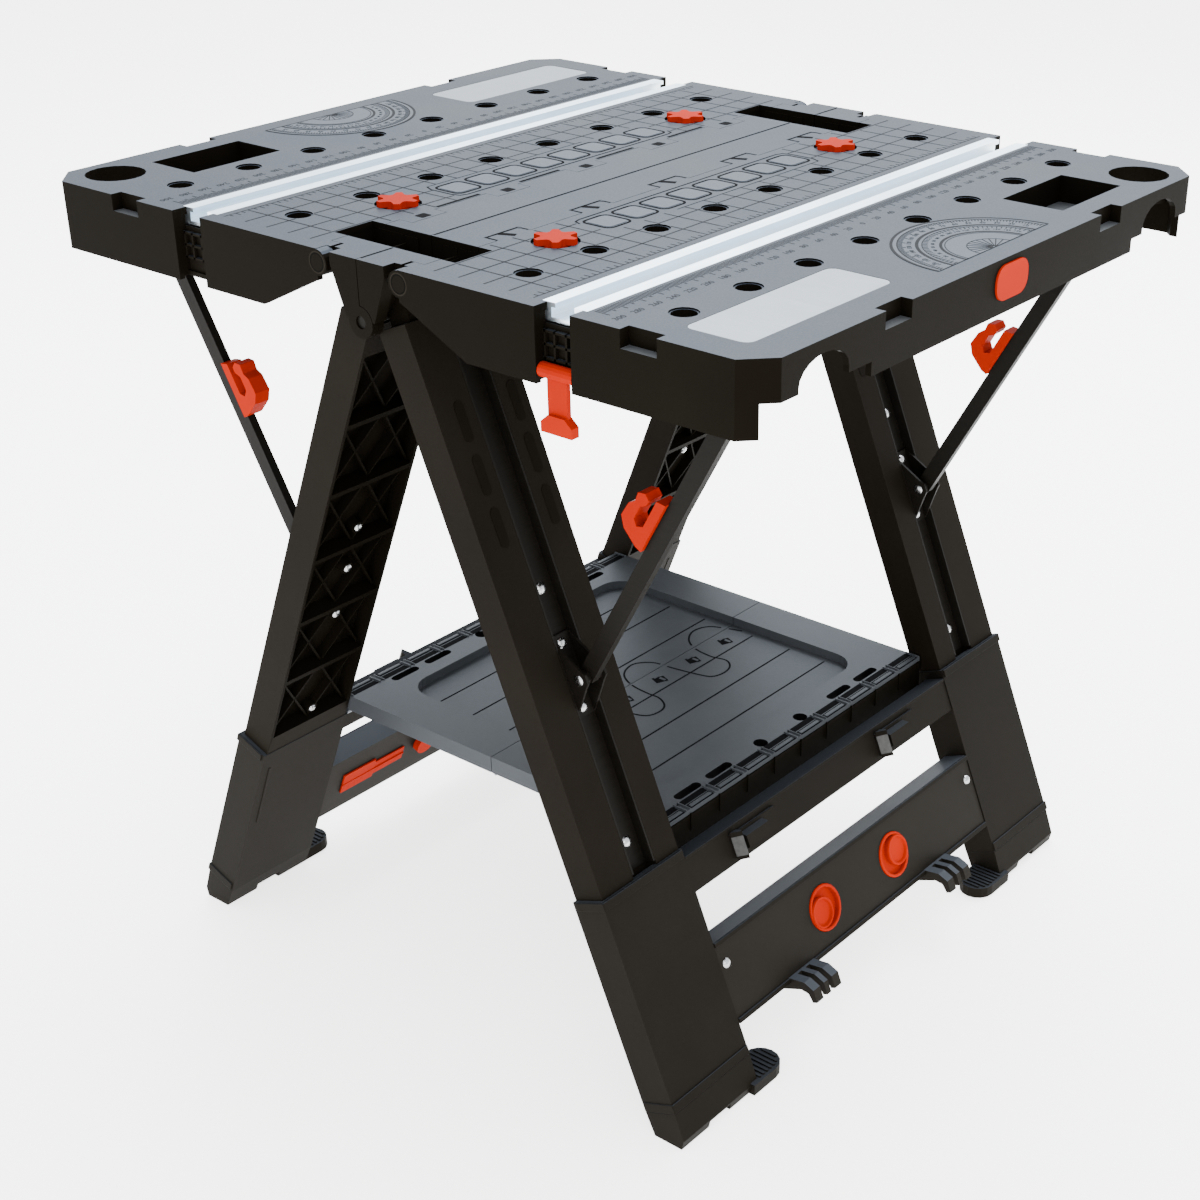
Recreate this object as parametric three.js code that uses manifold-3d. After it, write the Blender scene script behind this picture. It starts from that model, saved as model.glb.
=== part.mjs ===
import * as THREE from 'three';
import { mergeVertices } from 'three/addons/utils/BufferGeometryUtils.js';
import Module from 'manifold-3d';

const wasm = await Module();
wasm.setup();

// Driving dimensions, millimetres, +Z up, floor at Z = 0
const HALF_LENGTH_Y = 318.6;      // half length of the table along the T-tracks
const HALF_WIDTH_X = 384;         // half width of the table across the wings
const TOP_Z = 716;                // table surface
const PLATE = 6;                  // thickness of the table plate
const WALL = 5;                   // thickness of the skirt walls
const SKIRT_Z = 658;              // bottom of the end skirts
const SEAM_IN = 37;               // toothed seam between spine and wing: inner and outer line
const SEAM_OUT = 51;
const TEETH = [-217, -117, -17, 83, 183];   // start of each wing tooth along Y
const TOOTH = 39;                 // length of a wing tooth
const HINGE_X = 44.6;             // wing hinge axis
const HINGE_Z = 705;
const PIVOT_Z = 666;              // common leg pivot
const LEG_ANGLE = 22.4;           // degrees, each leg from the vertical
const LEG_IN = 1.5;               // leg section, measured outward from the pivot plane
const LEG_OUT = 33.4;
const LEG_Y0 = 207;               // leg section along the table
const LEG_Y1 = 306;
const LEG_TOP = 11;               // down the leg from the pivot
const BOOT_TOP = 500;
const BOOT_END = 698;
const CHANNEL_Y = 251.25;         // middle of the steel channel and of the strut
const TRACK_X = 198.6;            // middle of the T-track
const TRACK_HALF = 21.2;
const TRACK_END = 303.9;
const DOG_R = 10;                 // dog holes
const DOG_X = [125.8, 274];
const DOG_Y = [37.5, 112.5, 187.5, 262.5];
const CUP = [347, 274, 26];       // cup hole: x, y, radius
const TRAY = [296, 353, 132, 230];
const METAL = [293, 350.4, -288, -111];
const KNOB = [87, 189];           // cross knobs on the table
const SLOT = [66, 238, 279];      // hand-hold slots: half width, y from, y to
const STRUT_N = 44.4;             // strut pivot, outward and down the leg
const STRUT_U = 322.7;
const STRUT_ANGLE = 29;           // degrees from the vertical
const STRUT_LENGTH = 348;
const STRUT_HALF = 7.5;            // half width of the flat strut
const STRUT_THICK = 4;            // half thickness along the table
const SHELF_N = 2.5;              // shelf rod on the leg frame
const SHELF_Z = 206;
const SHELF_BOTTOM = 209;
const SHELF_TOP = 225.5;
const SHELF_Y = 204.5;
const RAIL_Y = 205.2;
const GAP = 0.3;

const deg = Math.PI / 180;
const A = LEG_ANGLE * deg;

// ---------- shapes ----------
function outline(points, holes = []) {
  const s = new THREE.Shape(points.map(([a, b]) => new THREE.Vector2(a, b)));
  for (const h of holes) s.holes.push(new THREE.Path(h.map(([a, b]) => new THREE.Vector2(a, b))));
  return s;
}
function extrude(points, depth, holes) {
  return new THREE.ExtrudeGeometry(outline(points, holes), { depth, bevelEnabled: false, steps: 1 });
}
function prismZ(points, z0, z1, holes) {
  return extrude(points, z1 - z0, holes).translate(0, 0, z0);
}
function prismY(points, y0, y1, holes) {
  return extrude(points, y1 - y0, holes).rotateX(Math.PI / 2).translate(0, y1, 0);
}
function prismX(points, x0, x1, holes) {
  const m = new THREE.Matrix4().set(0, 0, 1, 0, 1, 0, 0, 0, 0, 1, 0, 0, 0, 0, 0, 1);
  return extrude(points, x1 - x0, holes).applyMatrix4(m).translate(x0, 0, 0);
}
function box(x0, x1, y0, y1, z0, z1) {
  return new THREE.BoxGeometry(x1 - x0, y1 - y0, z1 - z0)
    .translate((x0 + x1) / 2, (y0 + y1) / 2, (z0 + z1) / 2);
}
function ring(cx, cy, r, n = 12, phase = 0) {
  return Array.from({ length: n }, (_, i) => {
    const t = (2 * Math.PI * (i + phase)) / n;
    return [cx + r * Math.cos(t), cy + r * Math.sin(t)];
  });
}
function roundRect(x0, x1, y0, y1, r, n = 4) {
  const pts = [];
  for (const [cx, cy, q] of [[x1 - r, y1 - r, 0], [x0 + r, y1 - r, 1], [x0 + r, y0 + r, 2], [x1 - r, y0 + r, 3]]) {
    for (let i = 0; i <= n; i++) {
      const t = (q + i / n) * Math.PI / 2;
      pts.push([cx + r * Math.cos(t), cy + r * Math.sin(t)]);
    }
  }
  return pts;
}
function solid(geometry) {
  const g = geometry.clone();
  g.deleteAttribute('normal');
  g.deleteAttribute('uv');
  const m = mergeVertices(g, 1e-4);
  return new wasm.Manifold(new wasm.Mesh({
    numProp: 3,
    vertProperties: new Float32Array(m.attributes.position.array),
    triVerts: new Uint32Array(m.index.array),
  }));
}
const join = (first, ...rest) => rest.reduce((a, g) => a.add(solid(g)), first.getMesh ? first : solid(first));
const cut = (first, ...rest) => rest.reduce((a, g) => a.subtract(solid(g)), first.getMesh ? first : solid(first));

// The leg frames are drawn upright (x outward from the pivot plane, z = minus the distance down the leg)
// and leaned out about the pivot.
function lean(geometry) {
  return geometry.rotateY(-A).translate(0, 0, PIVOT_Z);
}
function legBox(n0, n1, y0, y1, u0, u1) {
  return lean(box(n0, n1, y0, y1, -u1, -u0));
}
function legPoint(n, u) {
  return [n * Math.cos(A) + u * Math.sin(A), PIVOT_Z - u * Math.cos(A) + n * Math.sin(A)];
}
const span = (s, a, b) => (s < 0 ? [-b, -a] : [a, b]);

// ---------- materials ----------
const paint = {
  table: { color: 0x4a515c, roughness: 0.5, metalness: 0.0 },
  dark: { color: 0x2c2823, roughness: 0.55, metalness: 0.0 },
  orange: { color: 0xef5a1e, roughness: 0.45, metalness: 0.0 },
  alu: { color: 0xd8dde2, roughness: 0.3, metalness: 0.9 },
  steel: { color: 0xb6babf, roughness: 0.35, metalness: 0.9 },
  channel: { color: 0x3a3835, roughness: 0.5, metalness: 0.6 },
  shelf: { color: 0x555b65, roughness: 0.55, metalness: 0.0 },
};

const group = new THREE.Group();
group.name = 'folding_workbench';

function put(name, shape, mat) {
  let g;
  if (shape.getMesh) {
    const m = shape.getMesh();
    g = new THREE.BufferGeometry();
    const p = new Float32Array(m.numVert * 3);
    for (let i = 0; i < m.numVert; i++) for (let k = 0; k < 3; k++) p[3 * i + k] = m.vertProperties[m.numProp * i + k];
    g.setAttribute('position', new THREE.BufferAttribute(p, 3));
    g.setIndex(new THREE.BufferAttribute(new Uint32Array(m.triVerts), 1));
  } else {
    g = shape.clone();
    g.deleteAttribute('normal');
    g.deleteAttribute('uv');
    g = mergeVertices(g, 1e-4);
  }
  g.computeVertexNormals();
  const mesh = new THREE.Mesh(g, new THREE.MeshStandardMaterial({ ...paint[mat], flatShading: true }));
  mesh.name = name;
  group.add(mesh);
  return mesh;
}
// Right-hand piece and its twin after half a turn about Z
function pair(right, left, shape, mat) {
  const first = put(right, shape, mat);
  const g = first.geometry.clone().rotateZ(Math.PI);
  const twin = new THREE.Mesh(g, new THREE.MeshStandardMaterial({ ...paint[mat], flatShading: true }));
  twin.name = left;
  group.add(twin);
}
const side = (s) => (s < 0 ? 'near' : 'far');
const twinSide = (s) => (s < 0 ? 'far' : 'near');

// ---------- main pivot rod ----------
put('main_pivot_rod', prismY(ring(0, PIVOT_Z, 5, 14), -317, 317), 'steel');

// ---------- spine half ----------
{
  const top = TOP_Z;
  const trap = [[0.4, top], [29.7, top], [29.7, 706], [15.5, 668], [0.4, 668]];
  let s = join(prismY([[0.4, top], [SEAM_IN - GAP, top], [SEAM_IN - GAP, 708], [29.7, 704], [13, 672.5], [8, 672.5], [0.4, 684]], -306.6, 306),
    ...[-1, 1].map((q) => legBox(9, 31, ...span(q, 215, 298), -20, LEG_TOP - GAP)));
  // end plates: the half carries the inner ear at the near end and the outer ear at the far end
  const nearOuter = cut(prismY(trap, -HALF_LENGTH_Y, -311.2), prismY(ring(0, PIVOT_Z, 13.6, 20), -330, -300));
  const farInner = cut(prismY(trap, 305.8, 312.3), prismY(ring(0, PIVOT_Z, 13.6, 20), 300, 330));
  s = s.add(nearOuter).add(farInner);
  s = join(s, prismY(trap, -311.5, -306.4), prismY(ring(0, PIVOT_Z, 13, 20), -311.5, -306.4),
    prismY(trap, 312, HALF_LENGTH_Y), prismY(ring(0, PIVOT_Z, 13, 20), 312, HALF_LENGTH_Y));
  // lugs round the wing hinge rod
  const lug = [[28, 712], [49, 712], [49, HINGE_Z], [47.7, 701.9], [HINGE_X, 700.6], [28, 697]];
  for (const a of TEETH.slice(0, 4)) s = join(s, prismY(lug, a + TOOTH + 8, a + 92), box(20, SEAM_OUT - GAP, a + TOOTH + GAP, a + 100 - GAP, 710.6, top));
  s = join(s, box(20, SEAM_OUT - GAP, 222 + GAP, SLOT[1] + 2, 710.6, top), box(20, SEAM_OUT - GAP, -SLOT[1] - 2, -217 - GAP, 710.6, top));
  for (const q of [-1, 1]) s = join(s, box(20, SEAM_OUT - GAP, ...span(q, SLOT[2] - 2, 296), 710.6, top));
  s = cut(s, prismY(ring(0, PIVOT_Z, 5.3, 14), -330, 330), prismY(ring(HINGE_X, HINGE_Z, 2.8, 10), -300, 300));
  for (const q of [-1, 1]) s = cut(s, box(-SLOT[0], SLOT[0], ...span(q, SLOT[1], SLOT[2]), 691, 730));
  pair('spine_half_right', 'spine_half_left', s, 'dark');
  pair('wing_hinge_rod_right', 'wing_hinge_rod_left', prismY(ring(HINGE_X, HINGE_Z, 2.5, 10), -232, 232), 'steel');
}

// ---------- tabletop wing ----------
{
  const X = HALF_WIDTH_X, Y = HALF_LENGTH_Y, in0 = 40.3, in1 = SEAM_OUT + GAP, in2 = SEAM_IN + GAP;
  const plan = [[in0, -Y], [362, -Y], [X, -296], [X, 296], [362, Y], [in0, Y],
    [in0, 296 + GAP], [in1, 296 + GAP], [in1, SLOT[2]], [SLOT[0], SLOT[2]], [SLOT[0], SLOT[1]], [in1, SLOT[1]],
    ...TEETH.slice().reverse().flatMap((a) => [[in1, a + TOOTH], [in2, a + TOOTH], [in2, a], [in1, a]]),
    [in1, -SLOT[1]], [SLOT[0], -SLOT[1]], [SLOT[0], -SLOT[2]], [in1, -SLOT[2]], [in1, -296 - GAP], [in0, -296 - GAP]];
  const inner = [[20, -Y + WALL], [359.9, -Y + WALL], [X - WALL, -294], [X - WALL, 294], [359.9, Y - WALL], [20, Y - WALL]];
  let w = cut(prismZ(plan, SKIRT_Z, TOP_Z), prismZ(inner, 640, TOP_Z - PLATE));
  // end skirts rise toward the hinge
  w = cut(w, prismY([[0, 640], [112, 640], [112, SKIRT_Z], [46, 690.6], [0, 690.6]], -330, 330));
  // outer skirt: high over the legs, arched where the struts pass
  const arch = (s, a, b) => Array.from({ length: 11 }, (_, i) => [(a + b) / 2 - s * Math.cos(i * Math.PI / 10) * Math.abs(b - a) / 2, 688 + 18 * Math.sin(i * Math.PI / 10)]);
  w = cut(w, prismX([[-306.6, 640], [-306.6, 684], [-276, 684], ...arch(1, -276, -216), [-216, 683], [-188, 683], [-188, 672],
    [198, 672], [198, 683], [216, 683], ...arch(1, 216, 276), [276, 684], [306.6, 684], [306.6, 640]], 355, 400));
  // the end skirts are rounded about the hinge axis
  for (const q of [-1, 1]) {
    w = cut(w, box(30, HINGE_X, ...span(q, 306.9, 330), 640, 730));
    w = join(w, prismY(ring(HINGE_X, HINGE_Z, 10.7, 24), ...span(q, 306.9, Y)));
  }
  // ribs, track trough, latch cheeks, tray, strut pads, notch backs
  for (const y of [-150, -75, 75, 150]) w = join(w, box(56, 380, y - 2, y + 2, 690, 711));
  w = join(w, box(174, 223.2, -304.2, 304.2, 697, 711));
  for (const q of [-1, 1]) {
    w = join(w, box(177, 182, ...span(q, 306.6, 314), 660, 711), box(216, 221, ...span(q, 306.6, 314), 660, 711));
    w = join(w, box(309, 323.5, ...span(q, 240, 262), 693.9, 711));
  }
  w = join(w, box(TRAY[0] - 3, TRAY[1] + 3, TRAY[2] - 3, TRAY[3] + 3, 690, 711));
  const notches = [[-172, -138], [140, 174]];
  for (const [a, b] of notches) w = join(w, box(369, 380, a - 4, b + 4, 695, 711));
  for (const q of [-1, 1]) w = join(w, box(257, 300, ...span(q, 303.5, 314), 695, 711));
  const knuckle = [[in0, 711], [49, 711], [49, HINGE_Z], [47.7, 701.9], [HINGE_X, 700.6], [41.5, 701.9], [in0, HINGE_Z]];
  for (const a of TEETH) w = join(w, prismY(knuckle, a + 2, a + TOOTH - 2));
  w = join(w, box(181, 217, 307, 309.5, SKIRT_Z + 2, 664));
  // openings
  w = cut(w, prismY(ring(HINGE_X, HINGE_Z, 2.8, 10), -232, 232));
  w = cut(w, box(TRACK_X - TRACK_HALF - GAP, TRACK_X + TRACK_HALF + GAP, -304.2, 304.2, 701.7, 730));
  w = cut(w, box(182, 216, -330, -304.2, 640, 730));
  w = cut(w, box(182, 216, 304.2, 330, 664, 730), box(182, 216, 309.5, 330, 640, 730));
  for (const [a, b] of notches) w = cut(w, box(374, 400, a, b, 702, 730));
  for (const q of [-1, 1]) w = cut(w, box(262, 295, ...span(q, 308.6, 330), 702, 730));
  w = cut(w, box(...TRAY, 693, 730));
  w = cut(w, prismZ(roundRect(...METAL, 8), 714, 730));
  for (const x of DOG_X) for (const y of DOG_Y) for (const q of [-1, 1]) w = cut(w, prismZ(ring(x, q * y, DOG_R, 16), 640, 730), prismZ(ring(x, q * y, DOG_R + 1.5, 16), 714.8, 730));
  w = cut(w, prismZ(ring(CUP[0], CUP[1], CUP[2], 20), 640, 730));
  for (const q of [-1, 1]) {
    w = cut(w, prismZ(ring(KNOB[0], q * KNOB[1], 9.9, 16), 640, 730), prismZ(ring(KNOB[0], q * KNOB[1], 19.8, 20), 713, 730));
  }
  w = cut(w, prismX(roundRect(-22.3, 24.3, 682.7, 711.3, 12), 370, 400));
  for (const q of [-1]) w = cut(w, prismX(ring(q * 312.8, 668, 2.8, 10), 170, 230));
  pair('tabletop_right', 'tabletop_left', w, 'table');

  const l = TRACK_X - TRACK_HALF, r = TRACK_X + TRACK_HALF, z = TOP_Z;
  pair('t_track_right', 't_track_left', prismY([[l, z], [TRACK_X - 9, z], [TRACK_X - 9, z - 3.5], [TRACK_X - 13, z - 3.5], [TRACK_X - 13, z - 11],
    [TRACK_X + 13, z - 11], [TRACK_X + 13, z - 3.5], [TRACK_X + 9, z - 3.5], [TRACK_X + 9, z], [r, z], [r, z - 14], [l, z - 14]], -TRACK_END, TRACK_END), 'alu');
  pair('metal_plate_right', 'metal_plate_left',
    prismZ(roundRect(METAL[0] + GAP, METAL[1] - GAP, METAL[2] + GAP, METAL[3] - GAP, 7.7), 714.3, 715.8), 'steel');

  // cross knobs: a low six-point star over a stem with a flange under the plate
  for (const q of [-1, 1]) {
    const star = [];
    for (let i = 0; i < 6; i++) {
      const t = (12 + 60 * i) * deg;
      for (const [a, rr] of [[-0.4, 12], [-0.13, 18.4], [0.13, 18.4], [0.4, 12]]) {
        star.push([KNOB[0] + rr * Math.cos(t + a), q * KNOB[1] + rr * Math.sin(t + a)]);
      }
    }
    const k = join(prismZ(star, 715.2, 720.2), prismZ(ring(KNOB[0], q * KNOB[1], 12.6, 20), 713.4, 715.4),
      prismZ(ring(KNOB[0], q * KNOB[1], 9, 16), 700, 714), prismZ(ring(KNOB[0], q * KNOB[1], 12, 10), 700, 709.6));
    pair(`cross_knob_right_${side(q)}`, `cross_knob_left_${twinSide(q)}`, k, 'orange');
  }
  // push button in the outer skirt
  pair('button_right', 'button_left', join(prismX(roundRect(-22, 24, 683, 711, 11.7, 6), 374, 385.6),
    prismX(roundRect(-25, 27, 681, 709.6, 12), 374, 378.6)), 'orange');
  // T-latch: roller on two journals, stem and hooked foot
  pair('t_latch_right_near', 't_latch_left_far', join(prismX(ring(-312.8, 668, 5.8, 14), 182.5, 215.5),
    prismX(ring(-312.8, 668, 2.5, 10), 178.5, 219.5), box(189, 208, -315, -311, 630, 668), prismY([[184, 622], [214, 622], [214, 630], [207, 636], [191, 636], [184, 630]], -318, -309.8)), 'orange');
}

// ---------- leg frame ----------
for (const q of [-1, 1]) {
  const y = span(q, LEG_Y0, LEG_Y1), c = span(q, CHANNEL_Y - 15.05, CHANNEL_Y + 15.05);
  let leg = join(legBox(LEG_IN, LEG_OUT, ...y, LEG_TOP, BOOT_TOP - GAP), legBox(7, 28, ...span(q, 214, 299), BOOT_TOP - 1, 560));
  leg = cut(leg, legBox(21.1, 50, ...c, 24, BOOT_TOP + 80));
  for (let i = 0; i < 6; i++) leg = cut(leg, legBox(-10, 16.5, ...span(q, 210.5, 302.5), 40 + 74 * i, 40 + 74 * i + 69));
  pair(`leg_right_${side(q)}`, `leg_left_${twinSide(q)}`, leg, 'dark');

  const cc = span(q, CHANNEL_Y - 14.75, CHANNEL_Y + 14.75), ci = span(q, CHANNEL_Y - 12.75, CHANNEL_Y + 12.75);
  const ch = cut(legBox(21.4, LEG_OUT, ...cc, 26, 496), legBox(23.4, 50, ...ci, 0, 600));
  pair(`leg_channel_right_${side(q)}`, `leg_channel_left_${twinSide(q)}`, ch, 'channel');

  // strut bracket: base on the channel floor, two ears and the pin
  const ear = lean(prismY([[23.7, -285], [26, -285], [STRUT_N + 4, -STRUT_U + 9], [STRUT_N + 9, -STRUT_U + 4], [STRUT_N + 9, -STRUT_U - 4],
    [STRUT_N + 4, -STRUT_U - 9], [26, -357], [23.7, -357]], ...span(q, CHANNEL_Y + 10, CHANNEL_Y + 12.4)));
  const ear2 = lean(prismY([[23.7, -285], [26, -285], [STRUT_N + 4, -STRUT_U + 9], [STRUT_N + 9, -STRUT_U + 4], [STRUT_N + 9, -STRUT_U - 4],
    [STRUT_N + 4, -STRUT_U - 9], [26, -357], [23.7, -357]], ...span(q, CHANNEL_Y - 12.4, CHANNEL_Y - 10)));
  const br = join(legBox(23.7, 26, ...span(q, CHANNEL_Y - 12.4, CHANNEL_Y + 12.4), 285, 357), ear, ear2,
    lean(prismY(ring(STRUT_N, -STRUT_U, 3, 10), ...span(q, CHANNEL_Y - 12.4, CHANNEL_Y + 12.4))));
  pair(`strut_bracket_right_${side(q)}`, `strut_bracket_left_${twinSide(q)}`, br, 'channel');

  // strut, drawn upright from its pivot and leaned outward; hook clip on its inner side
  const [px, pz] = legPoint(STRUT_N, STRUT_U);
  const place = (g) => g.rotateY(STRUT_ANGLE * deg).translate(px, 0, pz);
  const h = STRUT_HALF;
  const bar = place(prismY([[-h, 0], [-5.3, -5.3], [0, -h], [5.3, -5.3], [h, 0], [h, STRUT_LENGTH], [-h, STRUT_LENGTH]], ...span(q, CHANNEL_Y - STRUT_THICK, CHANNEL_Y + STRUT_THICK)));
  const sleeve = place(prismY(ring(0, 0, 6.4, 12), ...span(q, CHANNEL_Y - 9.6, CHANNEL_Y + 9.6)));
  const strut = cut(join(bar, sleeve), place(prismY(ring(0, 0, 3.3, 10), ...span(q, 200, 300))));
  pair(`strut_right_${side(q)}`, `strut_left_${twinSide(q)}`, strut, 'channel');
  const clip = place(prismY([[-h - GAP, 146], [-14, 146], [-30, 152], [-37, 160], [-36, 174], [-32, 180], [-33, 188], [-27, 192], [-21.5, 189], [-21.5, 184], [-26, 179],
    [-26, 166], [-21, 162], [-16, 166], [-16, 194], [-h - GAP, 197]], ...span(q, CHANNEL_Y - 8, CHANNEL_Y + 8)));
  pair(`strut_clip_right_${side(q)}`, `strut_clip_left_${twinSide(q)}`, clip, 'orange');

  // foot with the tread pad
  const f0 = legPoint(1.2, BOOT_END + GAP), f1 = legPoint(36, BOOT_END + GAP);
  let foot = join(prismY([f0, f1, [308.5, 9], [306.5, 0], [277.2, 0]], ...span(q, 205.5, 309.5)));
  const pad = [];
  for (let i = 0; i <= 8; i++) pad.push([295 + 17.6 * Math.cos(i * Math.PI / 8), q * (183 - 17.6 * Math.sin(i * Math.PI / 8))]);
  pad.push([277.4, q * 215], [312.6, q * 215]);
  foot = join(foot, prismZ(pad, 0, 11));
  foot = cut(foot, box(270, 320, ...span(q, 243, 272), -5, 7));
  pair(`foot_right_${side(q)}`, `foot_left_${twinSide(q)}`, foot, 'dark');

  // rail knob: disc, shaft through the lower rail and back disc, turned about the rail normal
  const prof = [[0, 3], [13, 3], [13, 9.6], [6, 9.6], [6, 28], [22, 28], [22, 36], [20.5, 36.6], [19.2, 36], [19.2, 31.5], [0, 31.5]];
  const knob = new THREE.LatheGeometry(prof.map(([a, b]) => new THREE.Vector2(a, b)), 24)
    .rotateZ(-Math.PI / 2).translate(0, q * 56.5, -630);
  pair(`rail_knob_right_${side(q)}`, `rail_knob_left_${twinSide(q)}`, lean(knob), 'orange');

  // clamp clip on the upper rail
  const yc = q * 113;
  const cl = join(legBox(35.3, 38, yc - 34, yc + 30, 515, 537), lean(prismY([[37.5, -518], [45, -521], [45, -532], [37.5, -535]], yc - 22, yc + 10)),
    lean(prismZ([[37.5, yc - 34], [48, yc - 29], [44, yc - 26], [37.5, yc - 26]], -539, -513)));
  pair(`clamp_clip_right_${side(q)}`, `clamp_clip_left_${twinSide(q)}`, cl, 'dark');
}

// boots and upper rail, one moulding
{
  let b = join(legBox(14, 35, -206, 206, 508, 541.5));
  for (const q of [-1, 1]) b = join(b, legBox(1, 36, ...span(q, 205.5, 309.5), BOOT_TOP, BOOT_END));
  for (const q of [-1, 1]) b = cut(b, legBox(6.7, 28.3, ...span(q, 213.7, 299.3), BOOT_TOP - 10, 560.5));
  pair('boot_frame_right', 'boot_frame_left', b, 'dark');
  let l = join(legBox(10, 35, -RAIL_Y, RAIL_Y, 591, 669));
  for (const q of [-1, 1]) {
    const y0 = q * 111;
    l = join(l, lean(prismY([[22, -664], [36, -664], [52, -668], [60, -676], [60, -688], [55, -688], [53, -679], [46, -675], [22, -675]], y0 - 19, y0 + 19)));
    for (const k of [-9, 3]) l = cut(l, legBox(38, 70, y0 + k, y0 + k + 6, 660, 700));
    l = cut(l, lean(new THREE.CylinderGeometry(6.4, 6.4, 80, 24).rotateZ(Math.PI / 2).translate(20, q * 56.5, -630)),
      lean(new THREE.CylinderGeometry(22.5, 22.5, 20, 24).rotateZ(Math.PI / 2).translate(37.6, q * 56.5, -630)));
  }
  pair('lower_rail_right', 'lower_rail_left', l, 'dark');
}

// ---------- shelf ----------
{
  const sx = legPoint(SHELF_N, (PIVOT_Z + SHELF_N * Math.sin(A) - SHELF_Z) / Math.cos(A))[0];
  pair('shelf_rod_right', 'shelf_rod_left', prismY(ring(sx, SHELF_Z, 2.2, 10), -RAIL_Y, RAIL_Y), 'steel');
  put('shelf_centre_rod', prismY(ring(0, SHELF_Z, 2.2, 10), -200, 200), 'steel');
  const lugsR = [[-190, -130], [-40, 0], [60, 110]], lugsL = [[-120, -50], [10, 50], [120, 190]];
  const holes = (s) => {
    const g = [];
    for (const q of [-1, 1]) {
      for (const [a, b] of [[77, 111], [122, 156]]) g.push(prismZ(roundRect(s * 177 - 4.5, s * 177 + 4.5, ...span(q, a, b), 4.4, 4), 190, 240));
      g.push(prismZ(ring(s * 177, q * 31, 7, 14), 190, 240));
    }
    return g;
  };
  const half = (s, end, mine, other) => {
    let h = join(box(...(s > 0 ? [0.4, end] : [-end, -0.4]), -SHELF_Y, SHELF_Y, SHELF_BOTTOM, SHELF_TOP));
    h = cut(h, prismZ(roundRect(-156, 156, -158, 158, 26, 6), SHELF_TOP - 8.5, SHELF_TOP + 10), ...holes(s));
    for (const [a, b] of other) h = cut(h, prismY(ring(0, SHELF_Z, 4.8, 16), a - 0.5, b + 0.5));
    for (const [a, b] of mine) {
      h = join(h, prismY(ring(0, SHELF_Z, 4.4, 16), a, b), prismY([[s * 1, 211], [s * 9, 211], [s * 9, 208.8], [s * 3.4, 204], [s * 1, 204]], a, b));
    }
    return cut(h, prismY(ring(0, SHELF_Z, 2.5, 10), -210, 210));
  };
  let r = half(1, 198.3, lugsR, lugsL);
  for (const [a, b] of [[-190, -160], [-60, -30], [30, 60], [160, 190]]) r = join(r, box(sx + 2.6, 198.3, a, b, 204, 211));
  put('shelf_right', r, 'shelf');
  put('shelf_left', half(-1, 195.3, lugsL, lugsR), 'shelf');
}

export default group;
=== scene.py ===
import bpy
import bmesh
import math
from mathutils import Matrix, Vector


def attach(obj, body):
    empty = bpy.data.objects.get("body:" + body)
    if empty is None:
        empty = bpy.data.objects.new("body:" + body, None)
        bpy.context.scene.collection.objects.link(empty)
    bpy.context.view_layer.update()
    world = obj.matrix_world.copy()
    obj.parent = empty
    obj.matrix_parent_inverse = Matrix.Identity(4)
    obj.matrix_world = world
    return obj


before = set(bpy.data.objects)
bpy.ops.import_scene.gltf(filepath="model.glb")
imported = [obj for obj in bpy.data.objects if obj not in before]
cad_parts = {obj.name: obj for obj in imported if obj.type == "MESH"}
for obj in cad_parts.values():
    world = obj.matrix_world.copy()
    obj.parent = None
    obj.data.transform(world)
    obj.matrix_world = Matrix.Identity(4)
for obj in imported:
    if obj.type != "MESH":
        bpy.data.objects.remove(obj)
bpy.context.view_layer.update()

MM = 0.001
TOP = 716.0
ALPHA = math.radians(22.4)
CA, SA = math.cos(ALPHA), math.sin(ALPHA)
PIVOT_Z = 666.0


# ------------------------------------------------------------------ materials
def new_mat(name):
    m = bpy.data.materials.new(name)
    m.use_nodes = True
    nt = m.node_tree
    for n in list(nt.nodes):
        nt.nodes.remove(n)
    out = nt.nodes.new("ShaderNodeOutputMaterial")
    p = nt.nodes.new("ShaderNodeBsdfPrincipled")
    nt.links.new(p.outputs[0], out.inputs[0])
    return m, nt, p


def ramp(nt, fac, stops):
    r = nt.nodes.new("ShaderNodeValToRGB")
    e = r.color_ramp.elements
    while len(e) < len(stops):
        e.new(0.5)
    for k, (pos, col) in enumerate(stops):
        e[k].position = pos
        e[k].color = (*col, 1)
    nt.links.new(fac, r.inputs[0])
    return r.outputs[0]


def noise(nt, scale, detail=4.0, rough=0.55, stretch=(1, 1, 1)):
    tc = nt.nodes.new("ShaderNodeTexCoord")
    mp = nt.nodes.new("ShaderNodeMapping")
    mp.inputs["Scale"].default_value = stretch
    nt.links.new(tc.outputs["Object"], mp.inputs["Vector"])
    n = nt.nodes.new("ShaderNodeTexNoise")
    n.inputs["Scale"].default_value = scale
    n.inputs["Detail"].default_value = detail
    n.inputs["Roughness"].default_value = rough
    nt.links.new(mp.outputs[0], n.inputs["Vector"])
    return n.outputs["Fac"]


def math_node(nt, op, a, b):
    n = nt.nodes.new("ShaderNodeMath")
    n.operation = op
    for k, v in enumerate((a, b)):
        if isinstance(v, (int, float)):
            n.inputs[k].default_value = v
        else:
            nt.links.new(v, n.inputs[k])
    return n.outputs[0]


def rough_from(nt, fac, lo, hi):
    n = nt.nodes.new("ShaderNodeMapRange")
    n.inputs["From Min"].default_value = 0.3
    n.inputs["From Max"].default_value = 0.7
    n.inputs["To Min"].default_value = lo
    n.inputs["To Max"].default_value = hi
    nt.links.new(fac, n.inputs["Value"])
    return n.outputs[0]


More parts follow.
